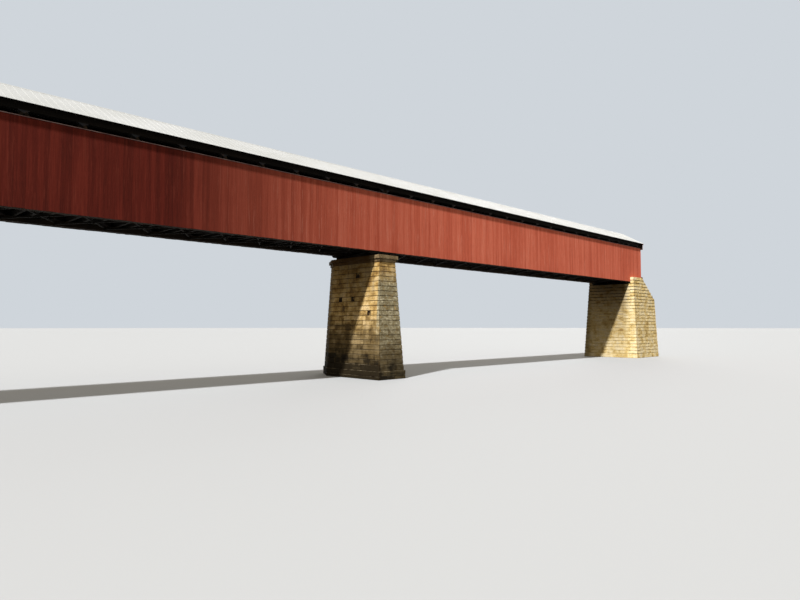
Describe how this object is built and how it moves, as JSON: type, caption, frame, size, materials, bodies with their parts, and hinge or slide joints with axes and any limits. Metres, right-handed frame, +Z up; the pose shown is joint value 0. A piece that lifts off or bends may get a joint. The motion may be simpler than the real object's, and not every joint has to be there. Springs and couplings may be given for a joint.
{
  "type": "1:10 scale model of a covered timber bridge",
  "caption": "Covered timber truss bridge on a battered stone pier and stone abutments, with red board walls, an open strip under the eaves and a pale metal roof, at 1:10 scale.",
  "frame": {"origin": "middle of the pier's foot between its long sides and under the bridge's centre line", "axes": "+X along the bridge to the end that the picture shows, +Y to the side of the pier's pointed end, which is away from the picture's camera, +Z up"},
  "size_m": [11.652, 1.0291, 1.9519],
  "materials": {
    "stone_masonry": "rock-faced coursed sandstone",
    "dressed_stone": "dressed sandstone",
    "dark_timber": "old rough-sawn timber in shade",
    "weathered_timber": "rough-sawn, unpainted",
    "red_boards": "matt barn-red paint",
    "grey_rail": "weathered paint",
    "white_roof_metal": "pale painted sheet",
    "wrought_iron": "dull black iron"
  },
  "bodies": {
    "root": {"pier_footing": "stone_masonry", "pier_shaft": "stone_masonry", "pier_coping": "dressed_stone", "left_abutment": "stone_masonry", "right_abutment": "stone_masonry", "backwalls": "stone_masonry", "left_wing_walls": "stone_masonry", "right_wing_walls": "stone_masonry", "bed_timbers": "dark_timber", "bolsters": "dark_timber", "lower_chords": "weathered_timber", "upper_chords": "weathered_timber", "end_posts": "weathered_timber", "main_braces": "weathered_timber", "counter_braces": "weathered_timber", "tension_rods": "wrought_iron", "angle_blocks": "wrought_iron", "lower_laterals": "dark_timber", "upper_laterals": "weathered_timber", "floor_beams": "dark_timber", "stringers": "dark_timber", "deck": "weathered_timber", "running_boards": "weathered_timber", "curbs": "weathered_timber", "tie_beams": "weathered_timber", "wall_plates": "weathered_timber", "near_rafters": "weathered_timber", "far_rafters": "weathered_timber", "nailers": "weathered_timber", "near_siding": "red_boards", "far_siding": "red_boards", "cap_rails": "grey_rail", "corner_boards": "red_boards", "portal_posts": "weathered_timber", "portal_headers": "weathered_timber", "portal_knees": "weathered_timber", "left_gable": "red_boards", "right_gable": "red_boards", "portal_jambs": "red_boards", "near_sheathing": "weathered_timber", "far_sheathing": "weathered_timber", "near_roof": "white_roof_metal", "far_roof": "white_roof_metal", "ridge_cap": "white_roof_metal", "bargeboards": "red_boards"}
  },
  "joints": []
}
